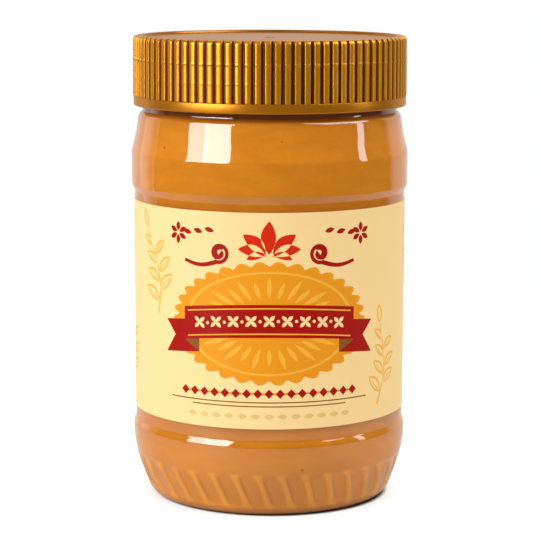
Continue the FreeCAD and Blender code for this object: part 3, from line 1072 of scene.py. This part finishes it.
def back_panels():
    """Return the back's two framed panels: their frames and leaves, and their rules."""
    frames, rules = [], []
    for middle in (BACK, -BACK):
        for wide, high, thick in ((44, 47, 0.7), (40.6, 43.6, 0.3)):
            for inset in (0, 2 * thick):
                frames.append(box_outline(middle, 28.1, wide - inset, high - inset))
    for step in range(6):
        rules.append(box_outline(BACK, 11.0 + 1.9 * step, 34 - 5 * (step % 3), 0.34))
    for step in range(8):
        up = 3.7 * step
        rules.append(box_outline(-BACK - 8.5, 12.6 + up, 17 - 4 * (step % 2), 0.5))
        rules.append(box_outline(-BACK + 12.5, 12.6 + up, 8 - 2 * (step % 3), 0.5))
        rules.append(box_outline(-BACK, 10.75 + up, 36, 0.18))
    for step in range(-2, 3):
        frames.append(placed(leaf(5.2, 2.6), -BACK + 6.4 * step - 2.6, 45.2))
    return frames, rules


def print_layers():
    """Return the label's print, from the ground up, as (ink, outlines) rows."""
    body, ring, light = medallion(0, 27.6, 26.5, 15.6, 30)
    back_body, back_ring, back_light = medallion(BACK, 35.6, 13.5, 9.6, 18)
    face, tails, folds, lines = banner(0, RIBBON_UP, RIBBON_HALF, 8.6, RIBBON_RISE)
    flourishes, rosettes = top_ornaments()
    diamonds = [placed(box_outline(0, 0, 1.75, 1.75), DIAMOND_STEP * step, DIAMONDS_UP,
                       math.pi / 4) for step in range(-8, 9)]
    beads = [oval(DIAMOND_STEP * (step + 0.5), DIAMONDS_UP, 0.36, 0.36, steps=12)
             for step in range(-8, 8)]
    rules = [box_outline(0, 7.0, 56, 0.32), box_outline(0, 5.95, 42, 0.32)]
    lozenges = [placed(leaf(2.7, 1.3), 3.5 * step - 1.35, 3.3) for step in range(-6, 7)]
    frames, back_rules = back_panels()
    return [(SPRIG, side_sprays()), (GOLD, body + back_body),
            (LIGHT_GOLD, ring + light + back_ring + back_light), (DARK_RED, tails),
            (BROWN, folds), (DARK_RED, [face]), (LIGHT_GOLD, lines), (GROUND, garland()),
            (RED, leaf_crest()), (DARK_RED, flourishes), (DARK_RED, rosettes + diamonds),
            (GOLD, beads), (BROWN, rules + back_rules), (PALE_GOLD, lozenges),
            (DARK_RED, frames)]


def closely(outline, spacing):
    """Return a closed outline with no side longer than spacing."""
    return subdivided(np.concatenate([outline, outline[:1]]), lambda middles: spacing)[:-1]


def inside_outline(points, outline):
    """Return which points an outline holds, by how many of its sides a ray to the right cuts."""
    result = np.zeros(len(points), bool)
    low, high = outline.min(0), outline.max(0)
    near = np.nonzero(((points >= low) & (points <= high)).all(1))[0]
    if not len(near):
        return result
    x, y = points[near, 0:1], points[near, 1:2]
    start, end = outline, np.roll(outline, -1, 0)
    spans = (start[:, 1] > y) != (end[:, 1] > y)
    rise = np.where(end[:, 1] == start[:, 1], 1.0, end[:, 1] - start[:, 1])
    cut = start[:, 0] + (y - start[:, 1]) * (end[:, 0] - start[:, 0]) / rise
    result[near] = (spans & (x < cut)).sum(1) % 2 == 1
    return result


def cut_sheet(wide, high, spacing, layers):
    """Divide a flat sheet into triangles that follow every outline; return them with inks.

    The outlines and a grid of points are joined by a constrained Delaunay triangulation. A
    triangle takes the topmost ink whose outlines hold its middle an odd number of times."""
    outlines = [closely(outline, spacing) for _, listed in layers for outline in listed]
    drawn = np.concatenate(outlines)
    columns, rows = math.ceil(wide / spacing), math.ceil(high / (1.7 * spacing))
    x = (np.arange(columns + 1) / columns - 0.5) * wide
    y = np.arange(rows + 1) / rows * high
    grid = np.stack(np.meshgrid(x, y), -1).reshape(-1, 2)
    at_end = np.abs(grid[:, 0]) > wide / 2 - 0.01
    edge = at_end | (grid[:, 1] < 0.01) | (grid[:, 1] > high - 0.01)
    close = np.zeros(len(grid), bool)
    for part in np.array_split(np.arange(len(drawn)), 1 + len(drawn) // 500):
        gap = np.abs(grid[:, None] - drawn[None, part]).max(2).min(1)
        close |= gap < 0.30 * spacing
    grid = grid[edge | ~close]
    points = np.concatenate([grid, drawn])
    sides = []
    at = len(grid)
    for outline in outlines:
        ring = at + np.arange(len(outline))
        sides.append(np.stack([ring, np.roll(ring, -1)], 1))
        at += len(outline)
    sides = np.concatenate(sides)
    found = delaunay_2d_cdt([Vector(p) for p in points], sides.tolist(), [], 0, 1e-5)
    flat = np.array([tuple(v) for v in found[0]])
    triangles = np.array(found[2])
    first, second, third = (flat[triangles[:, k]] for k in range(3))
    u, v = second - first, third - first
    turning = u[:, 0] * v[:, 1] - u[:, 1] * v[:, 0]
    triangles[turning < 0] = triangles[turning < 0][:, ::-1]
    triangles = triangles[np.abs(turning) > 1e-7]
    middle = flat[triangles].mean(1)
    inks = np.zeros(len(triangles), int)
    for ink_number, listed in layers:
        odd = np.zeros(len(triangles), bool)
        for outline in listed:
            odd ^= inside_outline(middle, outline)
        inks[odd] = ink_number
    return flat, triangles, inks


# The label's right-hand end climbs over this distance, and clears the other end by LAP_GAP.
LAP_CLIMB = 1.5 * MM
LAP_GAP = 0.02 * MM


def wrapped(flat, radius, lift, reach):
    """Wrap flat points round the jar: the angle is the distance along the sheet / radius.

    Over the last LAP_CLIMB before reach from the middle, the right-hand end climbs by lift, eased,
    so that it lies over the other."""
    climb = np.clip((flat[:, 0] - reach + LAP_CLIMB) / LAP_CLIMB, 0, 1)
    theta = flat[:, 0] / radius
    outwards = radius + lift * eased(climb)
    return turned(outwards, flat[:, 1], theta), turned(1.0, 0.0, theta)


class LabelMaker(bpy.types.Operator):
    """Build the label: a printed paper sheet, wrapped round with its ends lapped behind"""
    bl_idname = "jar.label"
    bl_label = "Label"

    def execute(self, context):
        sizes = context.scene.label_sizes
        radius = LABEL_HIGH.x
        high = LABEL_HIGH.z - LABEL_LOW.z
        wide = 2 * math.pi * radius + sizes.overlap
        flat, triangles, inks = cut_sheet(wide / MM, high / MM, sizes.grid / MM, print_layers())
        flat = flat * MM + (0, LABEL_LOW.z)
        outer, normals = wrapped(flat, radius, sizes.paper + LAP_GAP, wide / 2 - sizes.overlap)
        inner = outer - normals * sizes.paper
        total = len(flat)
        sides = np.concatenate([triangles[:, [0, 1]], triangles[:, [1, 2]], triangles[:, [2, 0]]])
        keys = np.sort(sides, 1) @ (total, 1)
        first, uses = np.unique(keys, return_index=True, return_counts=True)[1:]
        rim = sides[first[uses == 1]]
        rim_faces = np.stack([rim[:, 1], rim[:, 0], rim[:, 0] + total, rim[:, 1] + total], 1)
        points = np.concatenate([outer, inner])
        faces = triangles.tolist() + (triangles[:, ::-1] + total).tolist() + rim_faces.tolist()
        papers = [ink(name, getattr(context.scene.jar_finishes, tint), roughness)
                  for name, tint, roughness in INKS]
        piece = add_piece("label_sheet", points, faces, "label", papers)
        mesh = piece.data
        numbers = np.zeros(len(faces), np.int32)
        numbers[:len(inks)] = inks
        mesh.polygons.foreach_set("material_index", numbers)
        side = points[rim_faces[:, 1]] - points[rim_faces[:, 0]]
        edge_normals = np.cross(side, normals[rim_faces[:, 0]])
        edge_normals /= -np.linalg.norm(edge_normals, axis=1)[:, None]
        corner_normals = np.concatenate([normals[triangles].reshape(-1, 3),
                                         -normals[triangles[:, ::-1]].reshape(-1, 3),
                                         np.repeat(edge_normals, 4, axis=0)])
        mesh.normals_split_custom_set(corner_normals.tolist())
        mesh.update()
        return {"FINISHED"}


# ---------------------------------------------------------------- stage

def aimed(start, target):
    """Return the placement of a lamp or camera at start, looking at target."""
    look = (Vector(target) - Vector(start)).to_track_quat("-Z", "Y")
    return Matrix.Translation(start) @ look.to_matrix().to_4x4()


LAMP_DISTANCE = 0.9
LAMP_AIM = (0, 0, 0.07)
# Name, azimuth, elevation, width and height in degrees, setting, share of it, and what the lamp
# lights: "diffuse" for the pieces' colour, "glossy" for what their gloss shows.
LAMPS = (
    ("key_soft_box", -62, 18, 48, 36, "key", 1.0, "diffuse"),
    ("side_fill", 75, 25, 60, 50, "side", 1.0, "diffuse"),
    ("back_fill", 180, 30, 70, 50, "back", 1.0, "diffuse"),
    ("top_panel", 0, 75, 60, 60, "top", 1.0, "diffuse"),
    ("top_reflected", 0, 75, 60, 60, "top", 0.55, "glossy"),
    ("window_left", -64, 17.5, 16, 33, "window", 0.75, "glossy"),
    ("window_right", -44.8, 17.5, 23, 33, "window", 1.0, "glossy"),
    ("far_left_reflected", -122, 15, 28, 50, "strip", 0.06, "glossy"),
    ("upper_right_reflected", 77, 45, 48, 37, "strip", 1.0, "glossy"),
    ("strip_reflected", 83, 16, 7, 34, "strip", 1.0, "glossy"),
)


def soft_box(name, azimuth, elevation, wide, high, radiance, lights):
    """Hang a lit panel round the jar: its direction and its size are in degrees.

    Azimuth runs from the front to the right, and elevation upwards. Half its width is the
    distance x tan(half its angle). Its power is its radiance x pi x its area."""
    azimuth, elevation = math.radians(azimuth), math.radians(elevation)
    lamp = bpy.data.lights.new(name, "AREA")
    lamp.shape = "RECTANGLE"
    lamp.size = 2 * LAMP_DISTANCE * math.tan(math.radians(wide / 2))
    lamp.size_y = 2 * LAMP_DISTANCE * math.tan(math.radians(high / 2))
    lamp.energy = radiance * math.pi * lamp.size * lamp.size_y
    panel = bpy.data.objects.new(name, lamp)
    level = LAMP_DISTANCE * math.cos(elevation)
    start = (level * math.sin(azimuth), -level * math.cos(azimuth),
             LAMP_AIM[2] + LAMP_DISTANCE * math.sin(elevation))
    panel.matrix_world = aimed(start, LAMP_AIM)
    panel.visible_diffuse = lights == "diffuse"
    panel.visible_glossy = lights == "glossy"
    bpy.context.scene.collection.objects.link(panel)


FLOOR_RINGS = (0.02, 0.06, 0.12, 0.2, 0.36)
FLOOR_STEPS = 96
# Added to a floor point's place, so that the painted contact shadow, a dark disc under the
# foot, lies 0.7 mm towards +X. It is painted dark up to the first radius, and the floor is open
# from the second.
PAINTED_SHADOW_SHIFT = (-0.0007, 0, 0)
PAINTED_SHADOW_RADII = (0.0304, 0.0324)


def floor_mesh():
    """Return a round floor: rings of points round the middle, joined by a fan and quads."""
    turns = 2 * math.pi * along(FLOOR_STEPS)
    radii = np.array(FLOOR_RINGS)[:, None]
    rings = np.stack(np.broadcast_arrays(radii * np.cos(turns), radii * np.sin(turns), 0.0), -1)
    points = np.concatenate([[[0, 0, 0]], rings.reshape(-1, 3)])
    ring = np.arange(FLOOR_STEPS)
    following = (ring + 1) % FLOOR_STEPS
    base = 1 + np.arange(len(FLOOR_RINGS) - 1)[:, None] * FLOOR_STEPS
    outer = base + FLOOR_STEPS
    quads = np.stack([base + ring, outer + ring, outer + following, base + following], -1)
    fan = np.stack([np.zeros(FLOOR_STEPS, int), 1 + ring, 1 + following], 1)
    mesh = bpy.data.meshes.new("pale_floor")
    mesh.from_pydata(points.tolist(), [], quads.reshape(-1, 4).tolist() + fan.tolist())
    return mesh


def floor_paint():
    """Return the floor's finish: it glows white where it is open, with a contact shadow painted
    dark under the foot.
    """
    material, tree, shader = new_material("pale_floor")
    shader.inputs["Roughness"].default_value = 0.6
    shader.inputs["Specular IOR Level"].default_value = 0.2
    shader.inputs["Emission Color"].default_value = (1, 1, 1, 1)
    beside = tree.nodes.new("ShaderNodeVectorMath")
    beside.inputs[1].default_value = PAINTED_SHADOW_SHIFT
    tree.links.new(object_place(tree), beside.inputs[0])
    reach = tree.nodes.new("ShaderNodeVectorMath")
    reach.operation = "LENGTH"
    tree.links.new(beside.outputs[0], reach.inputs[0])
    open_floor = ranged(tree, reach.outputs["Value"], *PAINTED_SHADOW_RADII)
    # Painted contact shadow: near-black colour under the foot, where the glow is off too.
    shade = blended(tree, open_floor, (0.02, 0.015, 0.01, 1), (0.5, 0.5, 0.5, 1))
    tree.links.new(shade, shader.inputs["Base Color"])
    near = maths(tree, "MULTIPLY", open_floor, 0.55)
    far = ranged(tree, reach.outputs["Value"], 0.06, 0.20, 0.0, 0.5)
    path = tree.nodes.new("ShaderNodeLightPath")
    glow = maths(tree, "MULTIPLY", seen_share(tree, path, 0.25), maths(tree, "ADD", near, far))
    tree.links.new(glow, shader.inputs["Emission Strength"])
    return material


class StageMaker(bpy.types.Operator):
    """Build the stage: camera, soft boxes, room light and a pale floor"""
    bl_idname = "jar.stage"
    bl_label = "Stage"

    def execute(self, context):
        stage = context.scene.jar_stage
        self.camera(context.scene, stage)
        for name, azimuth, elevation, wide, high, setting, share, lights in LAMPS:
            radiance = getattr(stage, setting) * share
            soft_box(name, azimuth, elevation, wide, high, radiance, lights)
        self.room(context.scene, stage)
        mesh = floor_mesh()
        mesh.materials.append(floor_paint())
        floor = bpy.data.objects.new("pale_floor", mesh)
        context.scene.collection.objects.link(floor)
        return {"FINISHED"}

    def camera(self, scene, stage):
        """Set the camera in front of the jar, tilted down."""
        lens = bpy.data.cameras.new("camera")
        lens.lens = stage.lens
        lens.sensor_width = 36.0
        lens.shift_x = stage.shift
        lens.clip_start = 0.01
        camera = bpy.data.objects.new("camera", lens)
        tilt = Matrix.Rotation(math.pi / 2 - stage.tilt, 4, "X")
        roll = Matrix.Rotation(stage.roll, 4, "Z")
        place = Matrix.Translation((0, -stage.distance, stage.height))
        camera.matrix_world = place @ tilt @ roll
        scene.collection.objects.link(camera)
        scene.camera = camera

    def room(self, scene, stage):
        """Light the room: white where it is seen, and dim in front for reflections."""
        world = bpy.data.worlds.new("room")
        world.use_nodes = True
        tree = world.node_tree
        background = tree.nodes["Background"]
        background.inputs["Color"].default_value = (1, 1, 1, 1)
        path = tree.nodes.new("ShaderNodeLightPath")
        place = tree.nodes.new("ShaderNodeTexCoord")
        split = tree.nodes.new("ShaderNodeSeparateXYZ")
        tree.links.new(place.outputs["Generated"], split.inputs[0])
        behind = ranged(tree, split.outputs["Y"], 0.44, 0.60, 0.08, 0.85)
        diffuse = maths(tree, "MULTIPLY", path.outputs["Is Diffuse Ray"], stage.world)
        strength = maths(tree, "MAXIMUM", seen_share(tree, path, behind), diffuse)
        tree.links.new(strength, background.inputs["Strength"])
        scene.world = world


# ---------------------------------------------------------------- panel and running

class JarPanel(bpy.types.Panel):
    """Sidebar panel with the jar's settings and the buttons that build it"""
    bl_idname = "VIEW3D_PT_jar"
    bl_label = "Peanut butter jar"
    bl_space_type = "VIEW_3D"
    bl_region_type = "UI"
    bl_category = "Jar"

    def draw(self, context):
        for maker in MAKERS:
            self.layout.operator(maker.bl_idname)
        for group in settings(context.scene):
            column = self.layout.box().column()
            for name in group.bl_rna.properties.keys():
                if name not in ("rna_type", "name"):
                    column.prop(group, name)


GROUPS = {"jar_sizes": JarSizes, "lid_sizes": LidSizes, "label_sizes": LabelSizes,
          "jar_finishes": Finishes, "jar_stage": StageSettings}
MAKERS = (StageMaker, JarWallMaker, FillingMaker, LabelMaker, LidMaker)


def register():
    """Register the settings, operators and panel."""
    for name, group in GROUPS.items():
        bpy.utils.register_class(group)
        setattr(bpy.types.Scene, name, PointerProperty(type=group))
    for maker in MAKERS:
        bpy.utils.register_class(maker)
    bpy.utils.register_class(JarPanel)


def unregister():
    """Take the settings, operators and panel away again."""
    bpy.utils.unregister_class(JarPanel)
    for maker in reversed(MAKERS):
        bpy.utils.unregister_class(maker)
    for name, group in GROUPS.items():
        delattr(bpy.types.Scene, name)
        bpy.utils.unregister_class(group)


def main():
    """Build everything in order."""
    register()
    bpy.context.scene.view_settings.view_transform = "Standard"
    bpy.ops.jar.stage()
    bpy.ops.jar.wall()
    bpy.ops.jar.filling()
    bpy.ops.jar.label()
    bpy.ops.jar.lid()


if __name__ == "__main__":
    main()
